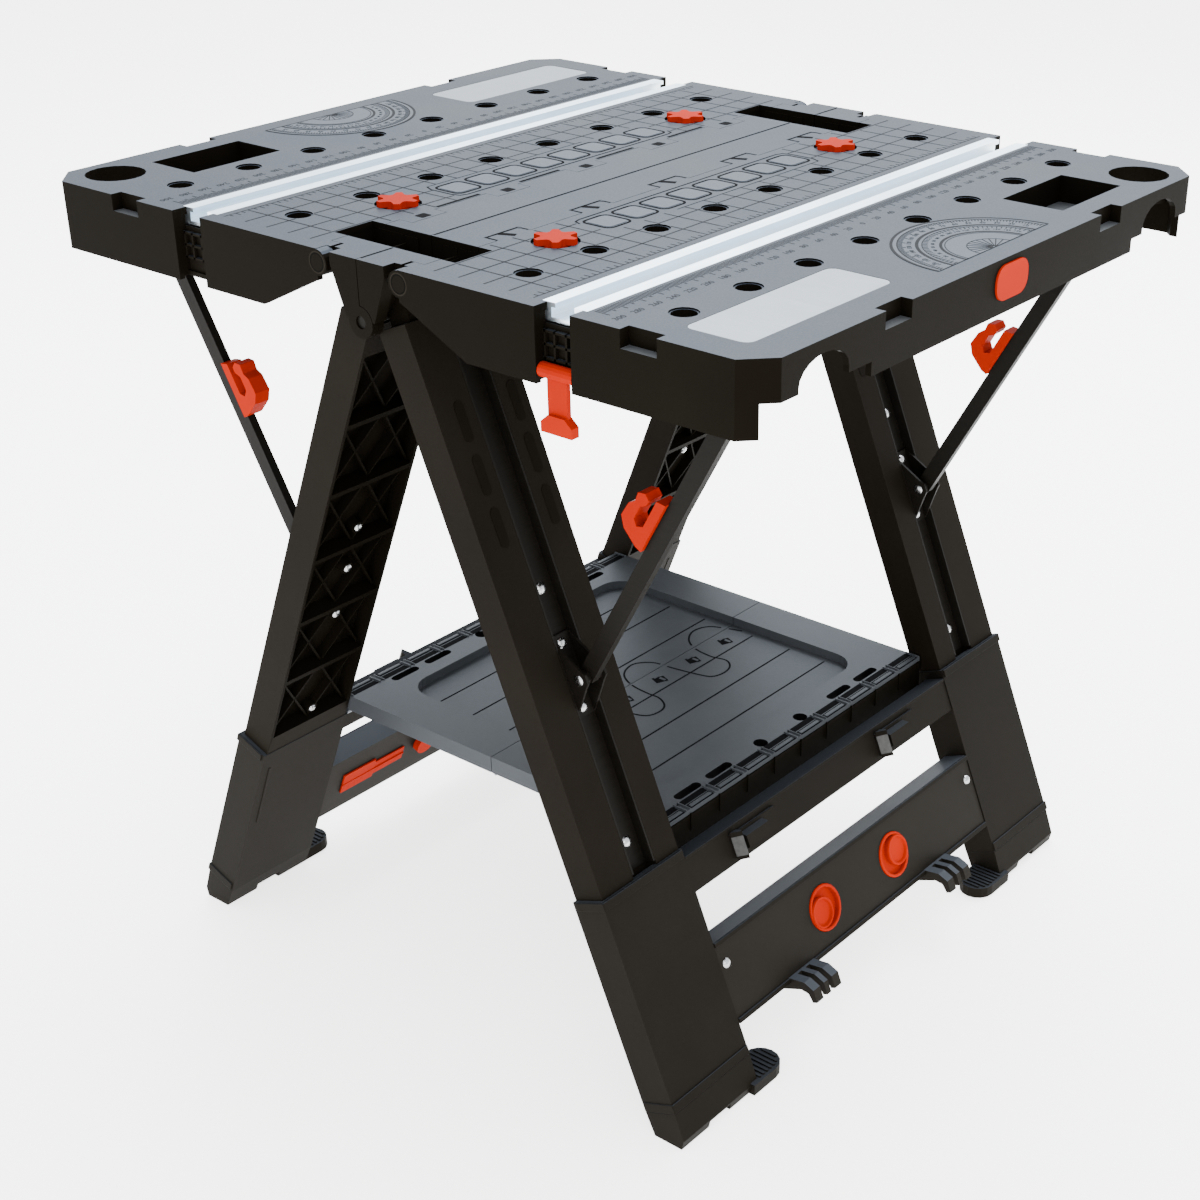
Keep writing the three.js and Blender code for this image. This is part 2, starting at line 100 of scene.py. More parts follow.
def bump(nt, p, height, strength, dist):
    b = nt.nodes.new("ShaderNodeBump")
    b.inputs["Strength"].default_value = strength
    b.inputs["Distance"].default_value = dist
    nt.links.new(height, b.inputs["Height"])
    nt.links.new(b.outputs[0], p.inputs["Normal"])


def plastic(name, dark, mid, light, rough=(0.42, 0.58), grain=900.0, strength=0.25, spec=0.5, wear=0.0, sky=None, tint=(1, 1, 1)):
    """Moulded plastic: slow shade changes, fine grain in the relief, a little rubbing on the edges."""
    m, nt, p = new_mat(name)
    slow = noise(nt, 7.0, 5.0)
    fine = noise(nt, grain, 2.0)
    col = ramp(nt, slow, [(0.32, dark), (0.5, mid), (0.68, light)])
    if wear > 0:
        g = nt.nodes.new("ShaderNodeNewGeometry")
        edge = nt.nodes.new("ShaderNodeMapRange")
        edge.inputs["From Min"].default_value = 0.53
        edge.inputs["From Max"].default_value = 0.60
        edge.inputs["To Min"].default_value = 0.0
        edge.inputs["To Max"].default_value = wear
        nt.links.new(g.outputs["Pointiness"], edge.inputs["Value"])
        mx = nt.nodes.new("ShaderNodeMix")
        mx.data_type = "RGBA"
        nt.links.new(edge.outputs[0], mx.inputs["Factor"])
        nt.links.new(col, mx.inputs["A"])
        mx.inputs["B"].default_value = (min(1, light[0] * 2.2), min(1, light[1] * 2.2), min(1, light[2] * 2.2), 1)
        col = mx.outputs["Result"]
    if sky:
        # painted sky reflection: the upward faces are mixed towards a paler blue-grey
        g = nt.nodes.new("ShaderNodeNewGeometry")
        sep = nt.nodes.new("ShaderNodeSeparateXYZ")
        nt.links.new(g.outputs["Normal"], sep.inputs[0])
        up = nt.nodes.new("ShaderNodeMapRange")
        up.inputs["From Min"].default_value = 0.6
        up.inputs["From Max"].default_value = 0.92
        nt.links.new(sep.outputs["Z"], up.inputs["Value"])
        mx = nt.nodes.new("ShaderNodeMix")
        mx.data_type = "RGBA"
        nt.links.new(up.outputs[0], mx.inputs["Factor"])
        nt.links.new(col, mx.inputs["A"])
        mx.inputs["B"].default_value = (*sky, 1)
        col = mx.outputs["Result"]
    nt.links.new(col, p.inputs["Base Color"])
    both = math_node(nt, "MULTIPLY", math_node(nt, "ADD", slow, fine), 0.5)
    nt.links.new(rough_from(nt, both, *rough), p.inputs["Roughness"])
    p.inputs["Specular IOR Level"].default_value = spec
    p.inputs["Specular Tint"].default_value = (*tint, 1)
    bump(nt, p, fine, strength, 0.0003)
    return m


def metal(name, dark, light, rough=(0.22, 0.38), stretch=(1, 1, 1), scale=60.0, metallic=1.0, spec=0.5):
    m, nt, p = new_mat(name)
    streak = noise(nt, scale, 6.0, 0.6, stretch)
    cloud = noise(nt, 9.0, 3.0)
    nt.links.new(ramp(nt, streak, [(0.3, dark), (0.7, light)]), p.inputs["Base Color"])
    both = math_node(nt, "MULTIPLY", math_node(nt, "ADD", streak, cloud), 0.5)
    nt.links.new(rough_from(nt, both, *rough), p.inputs["Roughness"])
    p.inputs["Metallic"].default_value = metallic
    p.inputs["Specular IOR Level"].default_value = spec
    bump(nt, p, streak, 0.08, 0.0002)
    return m


COOL, WARM = (0.62, 0.80, 1.0), (1.0, 0.86, 0.66)
TABLE = plastic("table_plastic", (0.0145, 0.0180, 0.0250), (0.0170, 0.0210, 0.0288), (0.0198, 0.0242, 0.0328), (0.36, 0.52), 700.0, 0.22, 0.085, tint=COOL)
PAD = plastic("table_pad_plastic", (0.026, 0.031, 0.040), (0.030, 0.0355, 0.0458), (0.034, 0.0400, 0.0512), (0.34, 0.47), 700.0, 0.2, 0.09, tint=COOL)
SKIRT = plastic("skirt_plastic", (0.0026, 0.0020, 0.0012), (0.0032, 0.0025, 0.0016), (0.0040, 0.0032, 0.0021), (0.45, 0.62), 900.0, 0.25, 0.014, tint=WARM)
# LEG, BOOT and RAIL get a painted sky reflection on their upward faces
LEG = plastic("leg_plastic", (0.0040, 0.0031, 0.0021), (0.0050, 0.0039, 0.0027), (0.0062, 0.0050, 0.0036), (0.42, 0.60), 900.0, 0.28, 0.016, sky=(0.013, 0.0145, 0.0172), tint=WARM)
BOOT = plastic("boot_plastic", (0.0047, 0.0039, 0.0030), (0.0058, 0.0049, 0.0038), (0.0071, 0.0061, 0.0049), (0.40, 0.58), 900.0, 0.28, 0.018, sky=(0.019, 0.021, 0.0245), tint=WARM)
RAIL = plastic("rail_plastic", (0.0058, 0.0049, 0.0039), (0.0070, 0.0060, 0.0048), (0.0085, 0.0074, 0.0061), (0.40, 0.58), 900.0, 0.28, 0.03, sky=(0.036, 0.040, 0.047), tint=WARM)
SHELF = plastic("shelf_plastic", (0.0260, 0.0275, 0.0300), (0.0318, 0.0334, 0.0362), (0.0378, 0.0394, 0.0424), (0.36, 0.52), 800.0, 0.24, 0.12, tint=COOL)
BASIN = plastic("tray_floor_plastic", (0.030, 0.032, 0.034), (0.040, 0.042, 0.045), (0.052, 0.054, 0.057), (0.36, 0.55), 500.0, 0.3, 0.10)
ORANGE = plastic("orange_plastic", (0.225, 0.0062, 0.0002), (0.255, 0.0078, 0.0003), (0.29, 0.0100, 0.0004), (0.40, 0.55), 900.0, 0.15, 0.012)
# near-black finish for printed lines and grooves, also used as painted shade in the hook recesses, the shelf slot walls
# and the hinge gaps
INK_AND_SHADE = plastic("groove_dark_and_painted_shade", (0.0012, 0.0012, 0.0014), (0.0016, 0.0016, 0.0019), (0.0022, 0.0022, 0.0026), (0.6, 0.8), 900.0, 0.1, 0.015)
FAINT = plastic("groove_faint", (0.0030, 0.0034, 0.0044), (0.0038, 0.0042, 0.0053), (0.0047, 0.0051, 0.0063), (0.5, 0.7), 900.0, 0.1, 0.04)
END_SKIRT = plastic("end_skirt_plastic", (0.0026, 0.0020, 0.0012), (0.0032, 0.0025, 0.0016), (0.0040, 0.0032, 0.0021), (0.45, 0.62), 900.0, 0.25, 0.014, tint=WARM)
# The end skirt gets a near-black ring line round the hinge boss and, just outside it, a pale ring of painted highlight
nt = END_SKIRT.node_tree
pb = next(n for n in nt.nodes if n.type == "BSDF_PRINCIPLED")
xyz = nt.nodes.new("ShaderNodeSeparateXYZ")
nt.links.new(nt.nodes.new("ShaderNodeTexCoord").outputs["Object"], xyz.inputs[0])
dx = math_node(nt, "SUBTRACT", math_node(nt, "ABSOLUTE", xyz.outputs["X"], 0.0), 0.0446)
dz = math_node(nt, "SUBTRACT", xyz.outputs["Z"], 0.705)
dist = math_node(nt, "SQRT", math_node(nt, "ADD", math_node(nt, "MULTIPLY", dx, dx), math_node(nt, "MULTIPLY", dz, dz)), 0.0)
line = math_node(nt, "LESS_THAN", math_node(nt, "ABSOLUTE", math_node(nt, "SUBTRACT", dist, 0.0072), 0.0), 0.00065)
rim_highlight = math_node(nt, "LESS_THAN", math_node(nt, "ABSOLUTE", math_node(nt, "SUBTRACT", dist, 0.0084), 0.0), 0.0005)
base_link = pb.inputs["Base Color"].links[0].from_socket
for fac, tone in ((line, (0.0004, 0.0003, 0.0002)), (rim_highlight, (0.0105, 0.0088, 0.0064))):
    mx = nt.nodes.new("ShaderNodeMix")
    mx.data_type = "RGBA"
    nt.links.new(fac, mx.inputs["Factor"])
    nt.links.new(base_link, mx.inputs["A"])
    mx.inputs["B"].default_value = (*tone, 1)
    base_link = mx.outputs["Result"]
nt.links.new(base_link, pb.inputs["Base Color"])
TIP = metal("clip_steel", (0.030, 0.030, 0.029), (0.050, 0.049, 0.048), (0.30, 0.45), (1, 1, 1), 200.0)
ALU = metal("anodised_aluminium", (0.66, 0.75, 0.82), (0.82, 0.89, 0.95), (0.26, 0.42), (60, 0.6, 60), 14.0)
STEEL = metal("brushed_plate", (0.150, 0.160, 0.178), (0.205, 0.218, 0.238), (0.30, 0.46), (1.5, 60, 1.5), 18.0)
RIVET = metal("rivet_steel", (0.28, 0.28, 0.28), (0.42, 0.42, 0.42), (0.18, 0.32), (1, 1, 1), 400.0)
CHANNEL = metal("painted_channel", (0.0036, 0.0030, 0.0022), (0.0056, 0.0047, 0.0037), (0.34, 0.50), (3, 3, 60), 20.0, 0.02, 0.035)


# ------------------------------------------------------------------ mesh building
def leg_at(p):
    """(outward, along the table, down the leg) of the right leg frame to the row frame."""
    n, y, u = p
    return (n * CA + u * SA, y, PIVOT_Z - u * CA + n * SA)


class Build:
    def __init__(self, at=None):
        self.v, self.f, self.at = [], [], at

    def add(self, verts, faces):
        b = len(self.v)
        self.v += [self.at(p) if self.at else tuple(p) for p in verts]
        self.f += [tuple(b + i for i in f) for f in faces]

    def prism(self, poly, a, b, plane="z", inset=0.0):
        """A closed prism on a plane outline from a to b along the plane's axis."""
        n = len(poly)
        cx, cy = sum(p[0] for p in poly) / n, sum(p[1] for p in poly) / n
        pt = {"z": lambda p, h: (p[0], p[1], h), "y": lambda p, h: (p[0], h, p[1]), "x": lambda p, h: (h, p[0], p[1])}[plane]
        top = []
        for p in poly:
            d = math.hypot(p[0] - cx, p[1] - cy) or 1.0
            k = max(0.0, 1 - inset / d)
            top.append((cx + (p[0] - cx) * k, cy + (p[1] - cy) * k))
        self.add([pt(p, a) for p in poly] + [pt(p, b) for p in top],
                 [tuple(range(n))[::-1], tuple(range(n, 2 * n))] + [(i, (i + 1) % n, n + (i + 1) % n, n + i) for i in range(n)])

    def box(self, x0, x1, y0, y1, z0, z1):
        self.add([(x0, y0, z0), (x1, y0, z0), (x1, y1, z0), (x0, y1, z0), (x0, y0, z1), (x1, y0, z1), (x1, y1, z1), (x0, y1, z1)],
                 [(3, 2, 1, 0), (4, 5, 6, 7), (0, 1, 5, 4), (1, 2, 6, 5), (2, 3, 7, 6), (3, 0, 4, 7)])

    def lathe(self, prof, centre, axis, n=16):
        """A turned shape: prof is (radius, height along axis); ends at radius 0 close to a point."""
        ax = Vector(axis).normalized()
        e1 = ax.orthogonal().normalized()
        e2 = ax.cross(e1)
        c = Vector(centre)
        verts, rings = [], []
        for r, h in prof:
            if r < 1e-6:
                rings.append([len(verts)])
                verts.append(tuple(c + ax * h))
            else:
                rings.append(list(range(len(verts), len(verts) + n)))
                for i in range(n):
                    t = 2 * math.pi * i / n
                    verts.append(tuple(c + ax * h + (e1 * math.cos(t) + e2 * math.sin(t)) * r))
        faces = []
        closed = prof[0] == prof[-1]
        for a, b in zip(rings, rings[1:]):
            for i in range(n):
                j = (i + 1) % n
                if len(a) == 1 and len(b) == 1:
                    continue
                if len(a) == 1:
                    faces.append((a[0], b[j], b[i]))
                elif len(b) == 1:
                    faces.append((a[i], a[j], b[0]))
                else:
                    faces.append((a[i], a[j], b[j], b[i]))
        self.add(verts, faces)
        return closed

    def tube(self, c, r0, r1, z0, z1, n=20):
        """An upright ring with inner radius r0."""
        v, f = [], []
        for r, z in ((r0, z0), (r1, z0), (r1, z1), (r0, z1)):
            for i in range(n):
                t = 2 * math.pi * i / n
                v.append((c[0] + r * math.cos(t), c[1] + r * math.sin(t), z))
        for k in range(4):
            for i in range(n):
                j, a, b = (i + 1) % n, k * n, ((k + 1) % 4) * n
                f.append((a + i, a + j, b + j, b + i))
        self.add(v, f)

    def ribbon(self, pts, w, z0, z1, closed=False):
        """A flat strip of width w along a plane path."""
        n = len(pts)
        left, right = [], []
        for i, (x, y) in enumerate(pts):
            a = pts[i - 1] if (i > 0 or closed) else None
            b = pts[(i + 1) % n] if (i < n - 1 or closed) else None
            d = Vector((0.0, 0.0))
            dirs = []
            if a is not None:
                dirs.append((Vector((x, y)) - Vector(a)).normalized())
            if b is not None:
                dirs.append((Vector(b) - Vector((x, y))).normalized())
            for q in dirs:
                d += q
            d = d.normalized() if d.length > 1e-9 else dirs[0]
            k = 1.0 / max(0.4, abs(d.dot(dirs[0])))
            nx, ny = -d.y * w / 2 * k, d.x * w / 2 * k
            left.append((x + nx, y + ny))
            right.append((x - nx, y - ny))
        v = [(p[0], p[1], z0) for p in left] + [(p[0], p[1], z0) for p in right] + [(p[0], p[1], z1) for p in left] + [(p[0], p[1], z1) for p in right]
        f = []
        for i in range(n if closed else n - 1):
            j = (i + 1) % n
            f += [(2 * n + i, 3 * n + i, 3 * n + j, 2 * n + j), (i, j, n + j, n + i), (i, 2 * n + i, 2 * n + j, j), (n + i, n + j, 3 * n + j, 3 * n + i)]
        if not closed:
            f += [(0, n, 3 * n, 2 * n), (n - 1, 3 * n - 1, 4 * n - 1, 2 * n - 1)]
        self.add(v, f)

    def text(self, word, x, y, z0, z1, size, ang):
        """Plain digits standing z1 - z0 proud, centred on (x, y), turned by ang."""
        cu = bpy.data.curves.new("digits", "FONT")
        cu.body = word
        cu.size = size
        cu.align_x, cu.align_y = "CENTER", "CENTER"
        cu.resolution_u = 2
        cu.extrude = (z1 - z0) / 2
        ob = bpy.data.objects.new("digits", cu)
        bpy.context.scene.collection.objects.link(ob)
        dg = bpy.context.evaluated_depsgraph_get()
        me = ob.evaluated_get(dg).to_mesh()
        c, s = math.cos(ang), math.sin(ang)
        vs = [(x + v.co.x * c - v.co.y * s, y + v.co.x * s + v.co.y * c, (z0 + z1) / 2 + v.co.z) for v in me.vertices]
        fs = [tuple(p.vertices) for p in me.polygons]
        self.add(vs, fs)
        ob.evaluated_get(dg).to_mesh_clear()
        bpy.data.objects.remove(ob)
        bpy.data.curves.remove(cu)

    def make(self, name, mat, body, slot, turn=False, bevel=0.0, smooth=True):
        me = bpy.data.meshes.new(name)
        s = -1 if turn else 1
        me.from_pydata([(s * x * MM, s * y * MM, z * MM) for x, y, z in self.v], [], self.f)
        bm = bmesh.new()
        bm.from_mesh(me)
        bmesh.ops.remove_doubles(bm, verts=bm.verts, dist=1e-6)
        bmesh.ops.recalc_face_normals(bm, faces=bm.faces)
        bm.to_mesh(me)
        bm.free()
        ob = bpy.data.objects.new(name, me)
        bpy.context.scene.collection.objects.link(ob)
        me.materials.append(mat)
        if smooth:
            soften(ob, bevel)
        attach(ob, body)
        return ob

    def both(self, name, mat, body, slot, bevel=0.0, smooth=True):
        """The piece on the right and its twin after half a turn about Z."""
        r = self.make(name + "_right", mat, body.replace("*", "right"), slot, False, bevel, smooth)
        l = self.make(name + "_left", mat, body.replace("*", "left"), slot, True, bevel, smooth)
        return r, l


def soften(ob, width_mm):
    if width_mm > 0:
        b = ob.modifiers.new("edges", "BEVEL")
        b.width = width_mm * MM
        b.segments = 2
        b.limit_method = "ANGLE"
        b.angle_limit = math.radians(35)
        b.harden_normals = False
    w = ob.modifiers.new("normals", "WEIGHTED_NORMAL")
    w.keep_sharp = True
    for p in ob.data.polygons:
        p.use_smooth = True
    ob.data.set_sharp_from_angle(angle=math.radians(38))


def arc(cx, cy, r, a0, a1, n):
    return [(cx + r * math.cos(math.radians(a0 + (a1 - a0) * i / n)), cy + r * math.sin(math.radians(a0 + (a1 - a0) * i / n))) for i in range(n + 1)]


def round_rect(x0, x1, y0, y1, r, n=5):
    out = []
    for cx, cy, q in ((x1 - r, y1 - r, 0), (x0 + r, y1 - r, 1), (x0 + r, y0 + r, 2), (x1 - r, y0 + r, 3)):
        out += arc(cx, cy, r, 90 * q, 90 * q + 90, n)
    return out


SIDES = ("right", "left")
ENDS = ("near", "far")

# ------------------------------------------------------------------ CAD nodes keep their shape and get finishes
node_finish = {"main_pivot_rod": (CHANNEL, 0.3), "shelf_centre_rod": (STEEL, 0.2)}
for s in SIDES:
    node_finish.update({
        "spine_half_" + s: (TABLE, 0.5), "wing_hinge_rod_" + s: (STEEL, 0.2), "tabletop_" + s: (TABLE, 0.25), "t_track_" + s: (ALU, 0.3),
        "metal_plate_" + s: (STEEL, 0.3), "button_" + s: (ORANGE, 0.8), "boot_frame_" + s: (BOOT, 1.6), "lower_rail_" + s: (RAIL, 1.0),
        "shelf_rod_" + s: (STEEL, 0.2), "shelf_" + s: (SHELF, 0.7)})
    for e in ENDS:
        node_finish.update({
            f"cross_knob_{s}_{e}": (ORANGE, 0.9), f"leg_{s}_{e}": (LEG, 1.0), f"leg_channel_{s}_{e}": (CHANNEL, 0.3),
            f"strut_bracket_{s}_{e}": (CHANNEL, 0.4), f"strut_{s}_{e}": (CHANNEL, 3.0), f"strut_clip_{s}_{e}": (ORANGE, 1.0),
            f"foot_{s}_{e}": (BOOT, 1.2), f"rail_knob_{s}_{e}": (ORANGE, 0.8), f"clamp_clip_{s}_{e}": (BOOT, 0.7)})
node_finish["t_latch_right_near"] = node_finish["t_latch_left_far"] = (ORANGE, 0.8)


def two_tone(ob, top_mat, side_mat, z_mm):
    """The moulding's upward faces near the table level take the top finish, the rest the skirt finish."""
    ob.data.materials.clear()
    ob.data.materials.append(side_mat)
    ob.data.materials.append(top_mat)
    ob.data.materials.append(BASIN)
    ob.data.materials.append(END_SKIRT)
    for p in ob.data.polygons:
        c = p.center
        p.material_index = 1 if (p.normal.z > 0.6 and c.z > z_mm * MM) else 0
        # floors of the edge notches and of the tray
        if p.normal.z > 0.9 and (abs(c.z - 0.702) < 0.0006 or (abs(c.z - 0.693) < 0.0006 and 0.296 < abs(c.x) < 0.353)):
            p.material_index = 2
        if abs(p.normal.y) > 0.95 and abs(c.y) > 0.315 and ob.name.startswith("tabletop"):
            p.material_index = 3


def dark_pockets(ob, left):
    """The pockets in the inner face of a leg are in the dark."""
    ob.data.materials.clear()
    ob.data.materials.append(LEG)
    ob.data.materials.append(SKIRT)
    for p in ob.data.polygons:
        c = (ob.matrix_world @ p.center) * 1000.0
        x, y = (-c.x, -c.y) if left else (c.x, c.y)
        n = x * CA + (c.z - PIVOT_Z) * SA
        u = x * SA - (c.z - PIVOT_Z) * CA
        if 1.2 < n < 17.0 and 209.0 < abs(y) < 304.0 and 38.0 < u < 482.0:
            p.material_index = 1


def dark_slots(ob):
    """The walls of the shelf's slots and holes take the dark groove finish as painted shade."""
    ob.data.materials.clear()
    ob.data.materials.append(SHELF)
    ob.data.materials.append(INK_AND_SHADE)
    for p in ob.data.polygons:
        c = ob.matrix_world @ p.center
        if abs(p.normal.z) < 0.3 and 0.165 < abs(c.x) < 0.185 and abs(c.y) < 0.160:
            p.material_index = 1


for name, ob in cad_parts.items():
    mat, bev = node_finish[name]
    if name.startswith("tabletop_") or name.startswith("spine_half_"):
        two_tone(ob, TABLE, SKIRT, 712.5)
    elif name in ("shelf_right", "shelf_left"):
        dark_slots(ob)
    elif name.startswith("leg_") and "channel" not in name:
        dark_pockets(ob, "_left_" in name)
    else:
        ob.data.materials.clear()
        ob.data.materials.append(mat)
    soften(ob, bev)

# ------------------------------------------------------------------ table top: lines, rulers, protractor, pads
HOLES = [(x, q * y, 12.2) for x in (125.8, 274.0) for y in (37.5, 112.5, 187.5, 262.5) for q in (-1, 1)]
HOLES += [(87.0, 189.0, 20.2), (87.0, -189.0, 20.2)]


def clear_spans(fixed, lo, hi, along_x):
    """The stretches of a straight line that don't cross a hole."""
    spans = [(lo, hi)]
    for hx, hy, r in HOLES:
        d = abs((hy if along_x else hx) - fixed)
        if d >= r:
            continue
        half = math.sqrt(r * r - d * d)
        c = hx if along_x else hy
        nxt = []
        for a, b in spans:
            if c + half <= a or c - half >= b:
                nxt.append((a, b))
                continue
            if c - half > a:
                nxt.append((a, c - half))
            if c + half < b:
                nxt.append((c + half, b))
        spans = nxt
    return [(a, b) for a, b in spans if b - a > 1.0]


grid = Build()
Z0, Z1 = TOP - 0.05, TOP + 0.10
for k in range(-12, 13):
    y = 25.4 * k
    x0 = 104.0 if abs(y) < 143 else (70.0 if 236 < abs(y) < 281 else 54.5)
    if abs(y) > 299:
        continue
    for a, b in clear_spans(y, x0, 160.0, True):
        grid.ribbon([(a, y), (b, y)], 1.5, Z0, Z1)
for x in (67.8, 93.2, 118.6, 144.0):
    for lo, hi in (((-303, -143), (143, 303)) if x < 100 else ((-303, 303),)):
        for a, b in clear_spans(x, lo, hi, False):
            grid.ribbon([(x, a), (x, b)], 1.5, Z0, Z1)
grid.ribbon([(168.8, -304), (168.8, 304)], 0.9, Z0, Z1)
for k in range(-47, 48):
    y = 6.35 * k
    ln = 9.0 if k % 4 == 0 else (6.5 if k % 2 == 0 else 4.5)
    grid.ribbon([(168.6 - ln, y), (168.6, y)], 1.0, Z0, Z1)
grid.both("top_grid", FAINT, "wing_*", "table", smooth=False)

ruler = Build()
for k in range(-120, 121):
    y = 2.5 * k
    ln = 14.0 if k % 8 == 0 else (11.5 if k % 4 == 0 else 8.5)
    ruler.ribbon([(223.4, y), (223.4 + ln, y)], 0.95, Z0, Z1)
for k in range(-15, 16):
    ruler.text(str(abs(20 * k)), 246.5, 20.0 * k, Z0, Z1, 8.2, math.radians(90))
ruler.both("top_ruler", FAINT, "wing_*", "table", smooth=False)

pads = Build()
frames_ = Build()
for k in range(8):
    y = -122.6 + 35.05 * k
    pads.prism(round_rect(69.4, 95.8, y - 12.6, y + 12.6, 5.0), TOP - 0.1, TOP + 0.4, "z", 0.4)
    frames_.ribbon(round_rect(67.3, 97.9, y - 14.7, y + 14.7, 6.5), 2.3, TOP - 0.05, TOP + 0.12, True)
frames_.ribbon([(70.0, -141.5), (63.5, -139.0), (61.6, -133.0), (61.6, 133.0), (64.0, 139.5), (72.0, 142.0), (96.0, 142.0), (104.5, 138.0)], 1.6, Z0, Z1)
frames_.ribbon([(104.5, 138.0), (104.5, -60.0)], 0.8, Z0, Z1)
# The hook marks beside the spine are near-black painted shade for the deep gaps of the recessed hooks: the full hook on
# the right wing, only a bar and a dot on the left
hook_r, hook_l = Build(), Build()
for y0 in (-217, -117, -17, 83, 183):
    hook_r.ribbon([(50.6, y0 + 0.9), (38.2, y0 + 0.9), (38.2, y0 + 36.0), (42.0, y0 + 38.1), (49.0, y0 + 38.1)], 2.2, TOP - 0.2, TOP + 0.08)
    hook_r.ribbon([(38.4, y0 + 15.0), (51.5, y0 + 21.0)], 6.0, TOP - 0.2, TOP + 0.08)
    hook_l.prism(round_rect(40.0, 50.0, y0 + 13.5, y0 + 24.5, 1.5, 3), TOP - 0.2, TOP + 0.08)
    if y0 < 183:
        hook_l.ribbon([(54.2, y0 + 44.0), (54.2, y0 + 94.0)], 3.2, TOP - 0.2, TOP + 0.16)
hook_r.make("painted_hook_shade_right", INK_AND_SHADE, "wing_right", "table", False, smooth=False)
hook_l.make("painted_hook_shade_left", INK_AND_SHADE, "wing_left", "table", True, smooth=False)
spine_line = Build()
for a, b in ((-314.0, -281.0), (-236.0, 236.0), (281.0, 314.0)):
    spine_line.box(0.35, 2.0, a, b, TOP - 0.2, TOP + 0.08)
spine_line.make("spine_seam", INK_AND_SHADE, "frame_right", "dark", False, smooth=False)
pads.both("top_pads", PAD, "wing_*", "table", smooth=False)
frames_.both("top_pad_frames", INK_AND_SHADE, "wing_*", "table", smooth=False)

# protractor
PC = (363.0, 10.0)
face = Build()
face.prism(arc(PC[0], PC[1], 80.5, 90, 270, 48), TOP - 0.1, TOP + 0.10)
face.both("protractor_face", PAD, "wing_*", "table", smooth=False)
pro = Build()
PZ0, PZ1 = TOP + 0.0, TOP + 0.22
for r, w in ((80.3, 1.6), (75.8, 0.6), (60.5, 1.8), (56.5, 0.5), (42.0, 1.6), (38.8, 0.5)):
    pro.ribbon(arc(PC[0], PC[1], r, 90, 270, 48), w * 1.5, PZ0, PZ1)
pro.ribbon([(PC[0], PC[1] - 80), (PC[0], PC[1] + 80)], 1.0, PZ0, PZ1)
for d in range(92, 270, 2):
    t = math.radians(d)
    ln = 6.5 if d % 10 == 0 else 4.0
    pro.ribbon([(PC[0] + 75.6 * math.cos(t), PC[1] + 75.6 * math.sin(t)), (PC[0] + (75.6 - ln) * math.cos(t), PC[1] + (75.6 - ln) * math.sin(t))], 0.9, PZ0, PZ1)
    if d % 4 == 0:
        pro.ribbon([(PC[0] + 56.3 * math.cos(t), PC[1] + 56.3 * math.sin(t)), (PC[0] + 52.0 * math.cos(t), PC[1] + 52.0 * math.sin(t))], 0.9, PZ0, PZ1)
for d in range(100, 261, 10):
    t = math.radians(d)
    pro.text(str(d - 90), PC[0] + 66.3 * math.cos(t), PC[1] + 66.3 * math.sin(t), PZ0, PZ1, 5.4, t - math.pi / 2)
    pro.text(str(270 - d), PC[0] + 48.0 * math.cos(t), PC[1] + 48.0 * math.sin(t), PZ0, PZ1, 4.2, t - math.pi / 2)
pro.ribbon(arc(PC[0], PC[1], 22.0, 90, 270, 20), 0.7, PZ0, PZ1)
for d in range(105, 256, 15):
    t = math.radians(d)
    pro.ribbon([(PC[0] + 2 * math.cos(t), PC[1] + 2 * math.sin(t)), (PC[0] + 22 * math.cos(t), PC[1] + 22 * math.sin(t))], 0.9, PZ0, PZ1)
pro.both("protractor_lines", FAINT, "wing_*", "table", smooth=False)

# walls under the dog holes, the cup hole and the hand-holds
wells = Build()
for hx, hy, r in HOLES[:16]:
    wells.tube((hx, hy), 10.0, 12.0, 692.0, 710.3, 20)
wells.tube((347.0, 274.0), 26.0, 28.0, 696.5, 710.3, 32)
slot_floor = Build()
lattice = Build()
for q in (-1, 1):
    y0, y1 = (238, 279) if q > 0 else (-279, -238)
    wells.box(66.0, 69.0, y0 - 3, y1 + 3, 690, 710.3)
    wells.box(52.0, 69.0, y1, y1 + 3, 690, 710.3)
    wells.box(52.0, 69.0, y0 - 3, y0, 690, 710.3)
    wells.box(51.0, 69.0, y0 - 3, y1 + 3, 689.4, 691.0)
    ring_ = arc(44.6, 705.0, 15.2, 186, 298, 14) + arc(44.6, 705.0, 13.8, 298, 186, 14)
    wells.prism(ring_, y0 + 0.4, y1 - 0.4, "y")
    slot_floor.box(20.0, 28.8, y0 + 0.4, y1 - 0.4, 688.8, 690.9)
    slot_floor.box(27.3, 28.8, y0 + 0.4, y1 - 0.4, 690.0, 705.0)
    cheek = arc(44.6, 705.0, 15.2, 155, 385, 24)
    for ya in (y0 + 0.3, y1 - 1.3):
        wells.prism(cheek, ya, ya + 1.0, "y")
        slot_floor.box(14.0, 29.0, ya, ya + 1.0, 688.8, 711.0)
    # back panel and lattice of the end recess
    a, b = (306.3, 306.9) if q > 0 else (-306.9, -306.3)
    lattice.box(182.2, 215.8, a, b, 662.0, 701.4)
    a, b = (306.7, 310.5) if q > 0 else (-310.5, -306.7)
    for x in (184.0, 193.4, 204.6, 214.0):
        lattice.box(x - 0.9, x + 0.9, a, b, 675.0, 697.2)
    for z in (675.0, 685.5, 695.4):
        lattice.box(182.2, 215.8, a, b, z, z + 1.8)
lattice.both("recess_lattice", LEG, "wing_*", "dark", smooth=False)
slot_floor.both("slot_floor", SKIRT, "frame_*", "dark", smooth=False)
wells.both("hole_walls", SKIRT, "wing_*", "dark", smooth=False)

